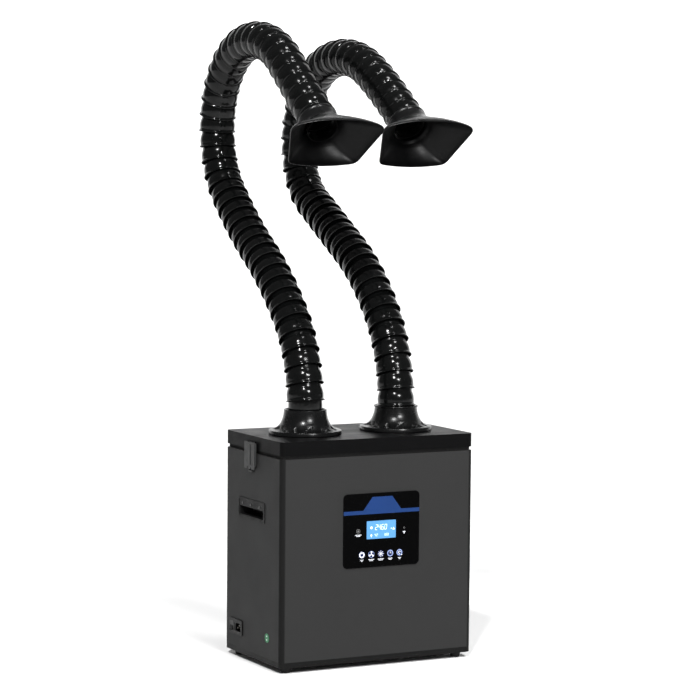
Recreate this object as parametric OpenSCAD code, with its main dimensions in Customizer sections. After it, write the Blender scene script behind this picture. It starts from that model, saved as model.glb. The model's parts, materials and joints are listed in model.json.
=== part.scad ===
// Twin-arm solder fume extractor for an electronics bench.
// X runs left to right, Y front to back, Z up. The origin is the middle of the four foot
// recesses, on the surface the feet stand on. All sizes are in millimetres.

/* [Cabinet] */
// Width of the cabinet, left to right
body_w = 430; // [426:1:440]
// Depth of the cabinet, front to back
body_d = 257; // [255:1:264]
// Height of the painted shell, between the base pan and the cover joint
shell_h = 400.5; // [398:0.5:410]
// Radius of the shell's upright edges
corner_r = 10; // [8:1:12]
// Thickness of the shell's sheet
sheet_t = 1.5; // [1.2:0.1:2]
// Height of the base pan
base_h = 11; // [10:0.5:12]
// Height of the top cover's skirt
cover_h = 27; // [25:0.5:30]
// Height of the dark joint between shell and cover
joint_h = 7.5; // [6:0.5:8]

/* [Feet] */
// Height of a rubber foot
foot_h = 12; // [11:0.5:14]
// Diameter of a foot where it meets the base pan
foot_d = 22; // [20:1:26]
// Distance from the cabinet's sides to a foot's centre
foot_inset = 23; // [20:1:30]

/* [Arms] */
// Distance from the middle of the cabinet to each arm's swivel
arm_x = 103; // [102:0.5:108]
// Where the swivels stand, front to back
arm_y = -6; // [-10:1:10]
// Length of one hose ring along the hose
ring_pitch = 32.5; // [32:0.1:33]
// Outer diameter of a ring's lip
ring_lip_d = 76; // [75:0.5:77]
// Radius of the ball on each ring's far end
ball_r = 33.6; // [33:0.1:33.7]
// Radial play between ball and socket
ball_gap = 0.3; // [0.2:0.05:0.4]

/* [Flanges] */
// Diameter of an arm flange's base
flange_d = 146; // [140:1:150]
// Height of the collar's top above the cover
collar_h = 52; // [48:1:56]

/* [Hoods] */
// Half width of the hood's mouth at its upper lip
mouth_half_w = 101; // [96:1:101]
// Distance from the end of the hose to the middle of the mouth
hood_reach = 72; // [70:1:76]
// Wall thickness of the hood
hood_t = 2.4; // [2:0.2:3]

/* [Handles] */
// Width of a recessed handle's frame
handle_w = 121; // [115:1:125]
// Height of a recessed handle's frame
handle_h = 41; // [38:1:44]

/* [Hidden] */
$fn = 48;
eps = 0.01;
RINGS = 6;                       // rings in one section of hose
SECTIONS = 7;                    // sections in one arm
// Bend of each section in degrees: + leans back, - leans forward
LEFT_BENDS = [42, 16, -12, -60, -63, -50, -3];
RIGHT_BENDS = [38, 23, 0, -78, -58, -43, -11];
z_base = foot_h;
z_shell = z_base + base_h;       // 23
z_joint = z_shell + shell_h;     // 423.5
z_cover = z_joint + joint_h;     // 431
z_top = z_cover + cover_h;       // 458
z_arm = z_top + collar_h;        // 510: first socket centre
foot_x = body_w / 2 - foot_inset;
foot_y = body_d / 2 - foot_inset;
hx = body_w / 2;
hy = body_d / 2;
black = "#141414";
dark = "#2b2b2b";
grey = "#424242";

// ---------- shared shapes ----------
module rr(w, d, r) {
    square([w - 2 * r, d], center = true);
    square([w, d - 2 * r], center = true);
    for (x = [-1, 1], y = [-1, 1]) translate([x * (w / 2 - r), y * (d / 2 - r)]) circle(r);
}
module slab(w, d, r, z0, z1) translate([0, 0, z0]) linear_extrude(z1 - z0) rr(w, d, r);
module box(a, b) translate(a) cube([b[0] - a[0], b[1] - a[1], b[2] - a[2]]);
// a rounded plate standing against a side wall: y and z extents, x from x0 to x1
module side_plate(x0, x1, y0, y1, z0, z1, r)
    translate([x0, (y0 + y1) / 2, (z0 + z1) / 2]) rotate([90, 0, 90]) linear_extrude(x1 - x0) rr(y1 - y0, z1 - z0, r);
// a rounded plate standing against the front: x and z extents, y from y0 to y1
module front_plate(y0, y1, x0, x1, z0, z1, r)
    translate([(x0 + x1) / 2, y1, (z0 + z1) / 2]) rotate([90, 0, 0]) linear_extrude(y1 - y0) rr(x1 - x0, z1 - z0, r);
module mirror_x(s) { if (s < 0) children(); else mirror([1, 0, 0]) children(); }

// ---------- cabinet ----------
panel_x0 = -79; panel_x1 = 91; panel_z0 = 201; panel_z1 = 348.5;
hy0 = 5 - handle_w / 2; hy1 = 5 + handle_w / 2;      // handle, front to back
hz1 = 330; hz0 = hz1 - handle_h;
iy0 = 44; iy1 = 104; iz0 = 47.4; iz1 = 78.6;         // mains inlet plate
gx = 105; gz0 = 52; gz1 = 152;                       // exhaust opening
module cabinet_shell() color(grey) difference() {
    slab(body_w, body_d, corner_r, z_shell, z_joint);
    slab(body_w - 2 * sheet_t, body_d - 2 * sheet_t, corner_r - sheet_t, z_shell - 1, z_joint - 1.5);
    slab(body_w - 28, body_d - 28, 4, z_joint - 3, z_joint + 1);     // leaves a folded rim for the gasket
    for (s = [-1, 1]) mirror_x(s) side_plate(-hx - 1, -hx + 3, hy0 + 4, hy1 - 4, hz0 + 4, hz1 - 4, 3);
    side_plate(-hx - 1, -hx + 3, iy0 + 3, iy1 - 3, iz0 + 2.5, iz1 - 2.5, 2);
    front_plate(-hy - 1, -hy + 3, panel_x0 + 14, panel_x1 - 14, panel_z0 + 10, panel_z1 - 12, 4);
    box([-gx, hy - 3, gz0], [gx, hy + 1, gz1]);
    // rivet holes of the latch bases and screw holes of the grille
    for (s = [-1, 1], y = [ly - 9, ly + 9]) translate([s * hx, y, 416]) rotate([0, 90, 0]) cylinder(r = 1.65, h = 8, center = true);
    for (x = [-1, 1], z = [0, 1]) translate([x * (gx + 7), hy, gz0 + 8 + z * (gz1 - gz0 - 16)]) rotate([90, 0, 0]) cylinder(r = 1.75, h = 8, center = true);
}
module base_pan() color(black) difference() {
    slab(body_w, body_d, corner_r, z_base, z_shell);
    slab(body_w - 14, body_d - 14, 6, z_base + 2.5, z_shell + 1);
    for (x = [-1, 1], y = [-1, 1]) translate([x * foot_x, y * foot_y, z_base - 1]) cylinder(r = 2.75, h = 10);
}
module feet() color("#161616") for (x = [-1, 1], y = [-1, 1]) translate([x * foot_x, y * foot_y, 0]) difference() {
    cylinder(r1 = foot_d / 2 - 2, r2 = foot_d / 2, h = foot_h);
    translate([0, 0, -1]) cylinder(r = 5.5, h = 4);
    cylinder(r = 4.6, h = 6.8);
    cylinder(r = 2.6, h = foot_h + 1);
}
module foot_screws() color("silver") for (x = [-1, 1], y = [-1, 1]) translate([x * foot_x, y * foot_y, 0]) {
    difference() {
        translate([0, 0, 3.4]) cylinder(r = 4.3, h = 3.4);
        translate([0, 0, 3]) cylinder(r = 1.6, h = 2.2, $fn = 6);
    }
    translate([0, 0, 6.8]) cylinder(r = 2.5, h = z_base + 2.5 - 6.8);
    translate([0, 0, z_base + 2.5]) cylinder(r = 4.6, h = 3.6, $fn = 6);
}

// ---------- recessed handles ----------
module handle() color(black) difference() {
    union() {
        side_plate(-hx - 1.6, -hx, hy0, hy1, hz0, hz1, 5);
        side_plate(-hx, -hx + 31, hy0 + 4.3, hy1 - 4.3, hz0 + 4.3, hz1 - 4.3, 3);
    }
    // hand opening below the grip, then the wider hollow behind it
    side_plate(-hx - 2, -hx + 10, hy0 + 7, hy1 - 7, hz0 + 6.5, hz1 - 17, 2);
    side_plate(-hx + 3.4, -hx + 29, hy0 + 7, hy1 - 7, hz0 + 6.5, hz1 - 6.5, 2);
    // shallow field that frames the grip
    side_plate(-hx - 2, -hx - 0.7, hy0 + 4, hy1 - 4, hz0 + 4, hz1 - 4, 3);
    for (y = [hy0 + 24, 8.8, hy1 - 20]) translate([-hx - 3, y, hz1 - 11]) rotate([0, 90, 0]) cylinder(r = 1.6, h = 8);
}
module left_handle() handle();
module right_handle() mirror([1, 0, 0]) handle();
module handle_screws() color("#1c1c1c") for (s = [-1, 1]) mirror_x(s) for (y = [hy0 + 24, 8.8, hy1 - 20])
    translate([-hx - 1.5, y, hz1 - 11]) rotate([0, 90, 0]) difference() {
        union() { cylinder(r = 2.6, h = 0.8); cylinder(r = 1.6, h = 4.6); }
        translate([0, 0, -0.5]) cylinder(r = 1, h = 1.1, $fn = 6);
    }

// ---------- mains inlet ----------
iyc = 62; izc = (iz0 + iz1) / 2; ryc = 93;
module inlet_module() color("#181818") difference() {
    union() {
        side_plate(-hx - 2.4, -hx, iy0, iy1, iz0, iz1, 3.5);
        side_plate(-hx, -hx + 34, iy0 + 3.3, iy1 - 3.3, iz0 + 2.8, iz1 - 2.8, 1.5);
    }
    // socket with its two cut corners
    translate([-hx - 3, iyc, izc]) rotate([90, 0, 90]) linear_extrude(18)
        polygon([[-12.4, -8.4], [12.4, -8.4], [12.4, 3.6], [7.6, 8.4], [-7.6, 8.4], [-12.4, 3.6]]);
    box([-hx - 3, ryc - 6.3, izc - 10.6], [-hx + 12, ryc + 6.3, izc + 10.6]);
    box([-hx - 3, iyc + 15.6, izc - 8.6], [-hx + 22, iyc + 20.4, izc + 8.6]);
    for (p = [[-7, -2], [7, -2], [0, 3]]) translate([-hx + 10, iyc + p[0], izc + p[1]]) box([0, -2.05, -1.05], [30, 2.05, 1.05]);
}
module inlet_pins() color("#b8b2a0") for (p = [[-7, -2], [7, -2], [0, 3]])
    translate([-hx, iyc + p[0], izc + p[1]]) box([0.5, -2, -1], [40, 2, 1]);
module fuse_drawer() color("#202020") {
    box([-hx - 2.9, iyc + 15.8, izc - 8.4], [-hx + 20, iyc + 20.2, izc + 8.4]);
}
module rocker_switch() color("#101010") translate([-hx + 3, ryc, izc]) rotate([0, 7, 0]) {
    rotate([90, 0, 0]) linear_extrude(12, center = true)
        polygon([[4, -7], [4, 7], [-5.2, 9.6], [-6.6, 9.6], [-5.2, 0], [-6.6, -9.6], [-5.2, -9.6]]);
}
module status_label() color("#1f9a52") translate([-hx - 0.35, -68, 63.5]) rotate([0, 90, 0]) cylinder(r = 9, h = 0.35);

// ---------- control panel ----------
keys_z = 226.4; key_r = 6.9;
function key_x(i) = -38 + 21.25 * i;
module control_panel() color("#0b0c10") difference() {
    union() {
        front_plate(-hy - 2.2, -hy, panel_x0, panel_x1, panel_z0, panel_z1, 9);
        // posts that carry the board
        for (x = [panel_x0 + 23, panel_x1 - 23], z = [panel_z0 + 19, panel_z1 - 21])
            translate([x, -hy - 0.5, z]) rotate([-90, 0, 0]) cylinder(r = 3, h = 11);
    }
    front_plate(-hy - 3, -hy + 1, -27.5, 38.5, 256.8, 293.2, 1.5);
    for (i = [0:4]) translate([key_x(i), -hy + 1, keys_z]) rotate([90, 0, 0]) cylinder(r = key_r + 0.3, h = 6);
}
module lcd_display() color("#8fc4ee") {
    front_plate(-hy - 1.7, -hy + 3, -27.2, 38.2, 257.1, 292.9, 1.2);
}
module control_board() color("#1d5a34") difference() {
    union() {
        front_plate(-hy + 10.5, -hy + 12.1, panel_x0 + 18, panel_x1 - 18, panel_z0 + 14, panel_z1 - 16, 3);
        // tact switches, display header and standoffs
        for (i = [0:4]) box([key_x(i) - 3, -hy + 7.8, keys_z - 3], [key_x(i) + 3, -hy + 10.6, keys_z + 3]);
        box([-20, -hy + 3.1, 262], [30, -hy + 10.6, 288]);
        box([-50, -hy + 12, 300], [30, -hy + 24, 322]);
    }
    for (x = [panel_x0 + 23, panel_x1 - 23], z = [panel_z0 + 19, panel_z1 - 21])
        translate([x, -hy + 5, z]) rotate([-90, 0, 0]) cylinder(r = 1.6, h = 10);
}
module key(i) color("#1d3f86") translate([key_x(i), -hy, keys_z]) rotate([90, 0, 0]) {
    translate([0, 0, -1.2]) cylinder(r = key_r, h = 3.6);
    translate([0, 0, -7]) cylinder(r = 2, h = 6);
}
module key_power() key(0);
module key_fan() key(1);
module key_boost() key(2);
module key_timer() key(3);
module key_filter() key(4);

// ---------- side latches ----------
ly = 5; lw = 46; lz0 = 392; lz1 = 446; pin_z = lz0 + 1; pin_x = -hx - 3.2;
module latch_base() color(dark) difference() {
    union() {
        box([-hx - 1.4, ly - 14, pin_z + 3.4], [-hx, ly + 14, 422.5]);
        side_plate(-hx - 4.6, -hx, ly - 8, ly + 8, pin_z - 7, pin_z - 4, 1);
        for (y = [ly - 8, ly + 6]) translate([0, y, 0]) {
            box([pin_x, 0, pin_z - 4.1], [-hx, 2, pin_z + 5]);
            translate([pin_x, 0, pin_z]) rotate([-90, 0, 0]) cylinder(r = 2.4, h = 2);
        }
    }
    translate([pin_x, ly, pin_z]) rotate([90, 0, 0]) cylinder(r = 1.05, h = 40, center = true);
    for (y = [ly - 9, ly + 9]) translate([-hx - 3, y, 416]) rotate([0, 90, 0]) cylinder(r = 1.6, h = 5);
}
module left_latch_base() latch_base();
module right_latch_base() mirror([1, 0, 0]) latch_base();
module latch() color("#3a3b3b") {
    difference() {
        union() {
            side_plate(-hx - 6.4, -hx - 4.4, ly - lw / 2, ly + lw / 2, lz0, lz1, 2.5);
            side_plate(-hx - 7.4, -hx - 6.3, ly - 5, ly + 5, lz0 + 8, lz1 - 5, 2);
            // catch lip behind the plate, side cheeks and the pin's knuckles
            box([-hx - 4.5, ly - 10, 434], [-hx - 3.8, ly + 10, 436.6]);
            for (y = [ly - lw / 2, ly + lw / 2 - 1.6]) box([-hx - 5, y, pin_z + 6], [-hx - 1.8, y + 1.6, lz1 - 1]);
            for (y = [ly - 11, ly - 3, ly + 8.5]) {
                translate([pin_x, y, pin_z]) rotate([-90, 0, 0]) cylinder(r = 2, h = 2.5);
                box([-hx - 5, y, pin_z - 1], [pin_x, y + 2.5, pin_z + 2]);
            }
        }
        translate([pin_x, ly, pin_z]) rotate([90, 0, 0]) cylinder(r = 0.95, h = 60, center = true);
        // notches that clear the two ears of the base as the lever swings
        for (y = [ly - 8.4, ly + 5.6]) box([-hx - 9, y, lz0 - 2], [-hx + 1, y + 2.8, pin_z + 3.2]);
    }
    translate([pin_x, ly, pin_z]) rotate([90, 0, 0]) cylinder(r = 1, h = 26, center = true);
}
module left_latch() latch();
module right_latch() mirror([1, 0, 0]) latch();
module latch_keepers() color("#6d6f70") for (s = [-1, 1]) mirror_x(s) {
    box([-hx - 1.2, ly - 12, 433], [-hx, ly + 12, 446]);
    box([-hx - 3.6, ly - 12, 437], [-hx - 1.1, ly + 12, 439.4]);
}

// ---------- inside the cabinet ----------
// the filter stack starts behind the header of the control board
fw = 352; fd = 224; fy = 8; shelf_z = 176;
module filter_shelf() color("#8d9092") difference() {
    union() {
        slab(body_w - 2 * sheet_t - 1, body_d - 2 * sheet_t - 1, 6, shelf_z - 1.5, shelf_z);
        for (x = [-1, 1]) translate([x * (hx - sheet_t - 1.5), 0, 0]) box([-1, -100, 23], [1, 100, shelf_z - 1.4]);
    }
    translate([0, fy, 0]) slab(300, 176, 8, shelf_z - 3, shelf_z + 2);
    // the left wall of the shelf clears the mains inlet
    box([-hx, 40, 40], [-hx + 12, 106, 86]);
}
module frame_seal(w, d, b, z0, z1) difference() {
    slab(w, d, 6, z0, z1);
    slab(w - 2 * b, d - 2 * b, 4, z0 - 1, z1 + 1);
}
module shelf_seal() color("#1b1b1b") translate([0, fy, 0]) frame_seal(fw - 8, fd - 8, 12, shelf_z, shelf_z + 3);
module carbon_filter() color("#3c3c3e") translate([0, fy, 0]) difference() {
    slab(fw, fd, 4, shelf_z + 3, shelf_z + 73);
    slab(fw - 24, fd - 24, 3, shelf_z + 68, shelf_z + 74);
    for (i = [-4:4], j = [-2:2]) translate([i * 34, j * 40, shelf_z + 2]) cylinder(r = 9, h = 80, $fn = 6);
}
module hepa_filter() color("#e9e6da") translate([0, fy, 0]) difference() {
    slab(fw, fd, 4, shelf_z + 73.3, shelf_z + 213);
    slab(fw - 24, fd - 24, 3, shelf_z + 205, shelf_z + 214);
    for (i = [-9:9]) box([i * 17 - 3, -fd / 2 + 16, shelf_z + 90], [i * 17 + 3, fd / 2 - 16, shelf_z + 210]);
}
module pre_filter() color("#d8dadd") translate([0, fy, 0]) difference() {
    slab(fw, fd, 4, shelf_z + 213.3, shelf_z + 233);
    for (i = [-5:5], j = [-3:3]) translate([i * 28, j * 30, shelf_z + 223]) cylinder(r = 8, h = 12, $fn = 6);
}
bl = [20, 10];     // fan axis, seen from above
module blower_housing() color("#b9bcbe") difference() {
    union() {
        translate([bl[0], bl[1], 60]) cylinder(r = 88, h = 84, $fn = 64);
        box([bl[0] - 88, bl[1], 60], [bl[0] + 20, 122, 144]);
        translate([bl[0], bl[1], 143.9]) cylinder(r = 58, h = 6);
        for (x = [-64, 64], y = [-58, 58]) translate([bl[0] + x, bl[1] + y, z_base + 2.5]) cylinder(r = 6, h = 48);
        translate([bl[0], bl[1], 57]) cylinder(r = 60, h = 3.1);
    }
    translate([bl[0], bl[1], 62]) cylinder(r = 86, h = 80, $fn = 64);
    box([bl[0] - 86, bl[1], 62], [bl[0] + 18, 123, 142]);
    translate([bl[0], bl[1], 140]) cylinder(r = 52, h = 12);
    translate([bl[0], bl[1], 50]) cylinder(r = 36.5, h = 14);
    for (a = [45:90:315]) translate([bl[0] + 50 * cos(a), bl[1] + 50 * sin(a), 50]) cylinder(r = 2.1, h = 14);
    for (x = [-64, 64], y = [-58, 58]) translate([bl[0] + x, bl[1] + y, z_base]) cylinder(r = 2.1, h = 30);
}
module blower_motor() color("#55585a") difference() {
    union() {
        translate([bl[0], bl[1], 20]) cylinder(r = 36, h = 38);
        translate([bl[0], bl[1], 53]) cylinder(r = 58, h = 3.7);
        translate([bl[0], bl[1], 57.9]) cylinder(r = 14, h = 6);
        translate([bl[0], bl[1], 60]) cylinder(r = 5, h = 60);
    }
    for (a = [45:90:315]) translate([bl[0] + 50 * cos(a), bl[1] + 50 * sin(a), 50]) cylinder(r = 2.1, h = 14);
}
module motor_screws() color("silver") for (a = [45:90:315]) translate([bl[0] + 50 * cos(a), bl[1] + 50 * sin(a), 0]) {
    translate([0, 0, 49.6]) cylinder(r = 3.6, h = 3.4);
    translate([0, 0, 53]) cylinder(r = 2, h = 8.8);
}
module impeller() color("#2a2d30") translate([bl[0], bl[1], 0]) {
    difference() {
        union() {
            translate([0, 0, 68]) cylinder(r = 72, h = 3);
            translate([0, 0, 68]) cylinder(r = 12, h = 46);
            for (i = [0:17]) rotate([0, 0, i * 20]) translate([60, 0, 70.5]) rotate([0, 0, 38]) box([-9, -1.1, 0], [9, 1.1, 62]);
            translate([0, 0, 132]) difference() { cylinder(r = 72, h = 2.5); translate([0, 0, -1]) cylinder(r = 54, h = 5); }
        }
        translate([0, 0, 60]) cylinder(r = 5.05, h = 70);
    }
}
module power_supply() color("#c3c5c6") {
    box([-170, -110, z_base + 2.5], [-72, -30, 56]);
    for (i = [0:6]) box([-166 + i * 13, -106, 55.9], [-160 + i * 13, -34, 62]);
}
module wiring() color("#7a2222") {
    // harness from the inlet along the pan to the supply
    box([-hx + 40.3, 58, 58], [-hx + 52, 66, 66]);
    box([-hx + 46, -29.7, z_base + 3], [-hx + 52, 66, 24]);
    box([-hx + 46, 58, 20], [-hx + 52, 66, 60]);
    box([-169, -28, 30], [-163, -20, 36]);
    box([-hx + 46, -28, 18], [-163, -22, 34]);
    box([-169, -29.7, 30], [-163, -22, 36]);
}
module exhaust_grille() color("#1a1a1a") difference() {
    union() {
        translate([0, hy + 2, (gz0 + gz1) / 2]) rotate([90, 0, 0]) linear_extrude(2) rr(2 * gx + 28, gz1 - gz0 + 18, 6);
        translate([0, hy, (gz0 + gz1) / 2]) rotate([90, 0, 0]) linear_extrude(5) rr(2 * gx - 1, gz1 - gz0 - 1, 3);
    }
    for (i = [0:7]) box([-gx + 6, hy - 6, gz0 + 6 + i * 11.4], [-2.5, hy + 3, gz0 + 13.2 + i * 11.4]);
    for (i = [0:7]) box([2.5, hy - 6, gz0 + 6 + i * 11.4], [gx - 6, hy + 3, gz0 + 13.2 + i * 11.4]);
    for (x = [-1, 1], z = [0, 1]) translate([x * (gx + 7), hy, gz0 + 8 + z * (gz1 - gz0 - 16)]) rotate([90, 0, 0]) cylinder(r = 1.8, h = 8, center = true);
}

// ---------- top cover ----------
module top_cover() color("#1a1a1b") difference() {
    slab(body_w, body_d, corner_r, z_cover, z_top);
    slab(body_w - 4, body_d - 4, corner_r - 2, z_cover - 1, z_top - 2);
    for (s = [-1, 1]) translate([s * arm_x, arm_y, 0]) {
        translate([0, 0, z_top - 4]) cylinder(r = 37, h = 6);
        for (a = [45:90:315]) translate([60 * cos(a), 60 * sin(a), z_top - 4]) cylinder(r = 2.2, h = 6);
    }
}
module cover_gasket() color("#0e0e0e") difference() {
    union() {
        slab(body_w - 8, body_d - 8, corner_r - 4, z_joint + 0.3, z_cover);
        slab(body_w - 4.6, body_d - 4.6, corner_r - 2.3, z_cover, z_cover + 6);
    }
    slab(body_w - 24, body_d - 24, 4, z_joint - 1, z_cover + 8);
}

// ---------- arm flanges ----------
module flange() color("#151516") difference() {
    union() {
        // dished foot, swept up into the collar
        rotate_extrude() polygon([[36, 0], [flange_d / 2 - 1, 0], [flange_d / 2, 1.2], [flange_d / 2, 6.5], [flange_d / 2 - 1.2, 8],
            [66, 8.6], [59, 10.4], [53, 13.6], [48.5, 18.2], [45.4, 24], [43.6, 31], [42.6, 39], [42, collar_h - 12], [38, collar_h - 12], [36, 30]]);
        // four buttresses on the flare
        for (a = [0:90:270]) rotate([0, 0, a]) translate([0, 0, 0]) difference() {
            translate([40, -9, 6]) cube([18, 18, 22]);
            translate([0, 0, -1]) cylinder(r = 43, h = 60);
            translate([82, 0, 32]) rotate([90, 0, 0]) cylinder(r = 32, h = 40, center = true);
        }
        translate([0, 0, collar_h - 12.1]) cylinder(r = 41.6, h = 9);
    }
    translate([0, 0, -1]) cylinder(r = 30.5, h = collar_h + 2);
    translate([0, 0, -1]) cylinder(r = 36, h = 30);
    translate([0, 0, collar_h]) sphere(r = ball_r + ball_gap);
    for (a = [45:90:315]) rotate([0, 0, a]) translate([60, 0, -1]) { cylinder(r = 2.3, h = 14); translate([0, 0, 6]) cylinder(r = 4.6, h = 12); }
}
module left_flange() translate([-arm_x, arm_y, z_top]) flange();
module right_flange() translate([arm_x, arm_y, z_top]) flange();
module flange_screws() color("#505254") for (s = [-1, 1]) translate([s * arm_x, arm_y, z_top]) for (a = [45:90:315]) rotate([0, 0, a]) translate([60, 0, 0]) difference() {
    union() { translate([0, 0, 5]) cylinder(r = 4.1, h = 3); translate([0, 0, -8]) cylinder(r = 2, h = 14); translate([0, 0, -6]) cylinder(r = 4, h = 3.4, $fn = 6); }
    translate([0, 0, 6.4]) cylinder(r = 1.5, h = 3, $fn = 6);
}

// ---------- hose ----------
// One ring: a socket at its near end, a ball at its far end, and a lip over the ring below.
module ring_body() difference() {
    union() {
        translate([0, 0, -7]) cylinder(r = ring_lip_d / 2, h = 1.6);
        translate([0, 0, -5.5]) cylinder(r1 = ring_lip_d / 2 - 0.9, r2 = ring_lip_d / 2 - 2.2, h = 19.8);
        intersection() {
            translate([0, 0, ring_pitch]) sphere(r = ball_r);
            translate([0, 0, 13]) cylinder(r = 50, h = ring_pitch - 13 + 2);
        }
    }
    intersection() { sphere(r = ball_r + ball_gap); translate([0, 0, -20]) cylinder(r = 50, h = 31.2); }
    intersection() { translate([0, 0, ring_pitch]) sphere(r = ball_r - 2.2); translate([0, 0, 14.3]) cylinder(r = 50, h = 40); }
    cylinder(r = 26, h = 40);
}
// The heading after i of n equal steps of a bend
function sum_to(v, n) = n <= 0 ? 0 : v[n - 1] + sum_to(v, n - 1);
function heading(b, k, i) = sum_to(b, k) + b[k] * i / RINGS;
// Start of ring i of section k: each ring is a straight step of one pitch
function step_dir(b, k, i) = let(t = heading(b, k, i + 0.5)) [sin(t) * ring_pitch, cos(t) * ring_pitch];
function at(b, k, i) = k == 0 && i == 0 ? [0, 0] : i == 0 ? at(b, k - 1, RINGS) : at(b, k, i - 1) + step_dir(b, k, i - 1);
// Places a piece on the hose: ring i of section k
module on_hose(s, b, k, i) {
    p = at(b, k, i);
    translate([s * arm_x, arm_y + p[0], z_arm + p[1]]) rotate([-heading(b, k, i + 0.5), 0, 0]) children();
}
module hose(s, b, k) color("#1b1c1d") for (i = [0:RINGS - 1]) on_hose(s, b, k, i) {
    if (k == 0 && i == 0) first_ring(); else ring_body();
}
// The first ring's ball turns in the collar; it carries a seat ball at its near end
module first_ring() difference() {
    union() {
        intersection() { sphere(r = ball_r); translate([0, 0, -9]) cylinder(r = 50, h = 14); }
        translate([0, 0, 4]) cylinder(r1 = 32, r2 = ring_lip_d / 2 - 2.2, h = 3);
        translate([0, 0, 6.9]) cylinder(r = ring_lip_d / 2 - 2.2, h = 7.4);
        intersection() {
            translate([0, 0, ring_pitch]) sphere(r = ball_r);
            translate([0, 0, 13]) cylinder(r = 50, h = ring_pitch - 13 + 2);
        }
    }
    translate([0, 0, -10]) cylinder(r = 26, h = 60);
    intersection() { translate([0, 0, ring_pitch]) sphere(r = ball_r - 2.2); translate([0, 0, 14.3]) cylinder(r = 50, h = 40); }
}
module left_hose_1() hose(-1, LEFT_BENDS, 0);
module left_hose_2() hose(-1, LEFT_BENDS, 1);
module left_hose_3() hose(-1, LEFT_BENDS, 2);
module left_hose_4() hose(-1, LEFT_BENDS, 3);
module left_hose_5() hose(-1, LEFT_BENDS, 4);
module left_hose_6() hose(-1, LEFT_BENDS, 5);
module left_hose_7() hose(-1, LEFT_BENDS, 6);
module right_hose_1() hose(1, RIGHT_BENDS, 0);
module right_hose_2() hose(1, RIGHT_BENDS, 1);
module right_hose_3() hose(1, RIGHT_BENDS, 2);
module right_hose_4() hose(1, RIGHT_BENDS, 3);
module right_hose_5() hose(1, RIGHT_BENDS, 4);
module right_hose_6() hose(1, RIGHT_BENDS, 5);
module right_hose_7() hose(1, RIGHT_BENDS, 6);

// ---------- hoods ----------
// Half outline of the mouth, from the middle of the upper lip to the middle of the lower lip
function mouth_half(w) = [[0, 72], [w * 0.3, 71], [w * 0.6, 66], [w * 0.84, 59], [w * 0.96, 53], [w, 44], [w * 0.985, 36],
    [w * 0.962, 25], [w * 0.935, 14], [w * 0.905, 3], [w * 0.875, -8], [w * 0.845, -19], [w * 0.815, -30], [w * 0.775, -42], [w * 0.7, -51], [w * 0.55, -55], [w * 0.28, -59], [0, -60]];
function mouth(w) = let(h = mouth_half(w), n = len(h)) concat(h, [for (i = [n - 2:-1:1]) [-h[i][0], h[i][1]]]);
// Sections from the neck to the mouth: fraction of the way, then blended outline, tilted with the mouth
function neck_pt(p, r) = let(a = atan2(p[0] * 0.8, p[1])) [r * sin(a), r * cos(a)];
function ease(t) = t * t * (3 - 2 * t);
mouth_tilt = 6;
function hood_ring(t, inset) = let(e = 0.35 * t + 0.65 * ease(t), m = mouth(mouth_half_w), a = mouth_tilt * t, z = 18 + (hood_reach - 18) * t)
    [for (p = m) let(q = neck_pt(p, 41), x = q[0] + (p[0] - q[0]) * e, y = q[1] + (p[1] - q[1]) * e,
        l = norm([x, y]), k = (l - inset) / l) [x * k, y * k * cos(a), z + y * k * sin(a)]];
STEPS = 6;
module skin(rings) {
    n = len(rings[0]); m = len(rings);
    pts = [for (r = rings) each r];
    polyhedron(pts, concat(
        [[for (i = [n - 1:-1:0]) i]],
        [for (j = [0:m - 2], i = [0:n - 1]) [j * n + i, (j + 1) * n + (i + 1) % n, (j + 1) * n + i]],
        [for (j = [0:m - 2], i = [0:n - 1]) [j * n + i, j * n + (i + 1) % n, (j + 1) * n + (i + 1) % n]],
        [[for (i = [0:n - 1]) (m - 1) * n + i]]));
}
function shift(r, d) = [for (p = r) [p[0], p[1], p[2] + d]];
module hood_shape() {
    difference() {
        skin([for (j = [0:STEPS]) hood_ring(j / STEPS, 0)]);
        skin(concat([shift(hood_ring(0, hood_t + 0.0), -1)], [for (j = [1:STEPS]) hood_ring(j / STEPS, hood_t)], [shift(hood_ring(1, hood_t), 3)]));
    }
    difference() {
        union() {
            translate([0, 0, -7]) cylinder(r = 40.5, h = 3);
            translate([0, 0, -4.1]) cylinder(r = 39.8, h = 26.4);
        }
        sphere(r = ball_r + ball_gap);
        translate([0, 0, -1]) cylinder(r = 34, h = 30);
    }
}
module left_hood() hood_on(-1, LEFT_BENDS);
module right_hood() hood_on(1, RIGHT_BENDS);
module hood_on(s, b) color("#121213") {
    p = at(b, SECTIONS - 1, RINGS);
    translate([s * arm_x, arm_y + p[0], z_arm + p[1]]) rotate([-heading(b, SECTIONS - 1, RINGS), 0, 0]) hood_shape();
}

cabinet_shell();
base_pan();
feet();
foot_screws();
left_handle();
right_handle();
handle_screws();
inlet_module();
inlet_pins();
fuse_drawer();
rocker_switch();
status_label();
control_panel();
lcd_display();
control_board();
key_power();
key_fan();
key_boost();
key_timer();
key_filter();
left_latch_base();
right_latch_base();
left_latch();
right_latch();
filter_shelf();
shelf_seal();
pre_filter();
hepa_filter();
carbon_filter();
blower_housing();
blower_motor();
motor_screws();
impeller();
power_supply();
wiring();
exhaust_grille();
top_cover();
cover_gasket();
latch_keepers();
left_flange();
right_flange();
flange_screws();
left_hose_1();
left_hose_2();
left_hose_3();
left_hose_4();
left_hose_5();
left_hose_6();
left_hose_7();
left_hood();
right_hose_1();
right_hose_2();
right_hose_3();
right_hose_4();
right_hose_5();
right_hose_6();
right_hose_7();
right_hood();
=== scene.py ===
"""Solder fume extractor: the looks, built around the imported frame. All lengths in metres, row frame."""
import bpy, bmesh, json, math
from mathutils import Matrix, Vector


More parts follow.
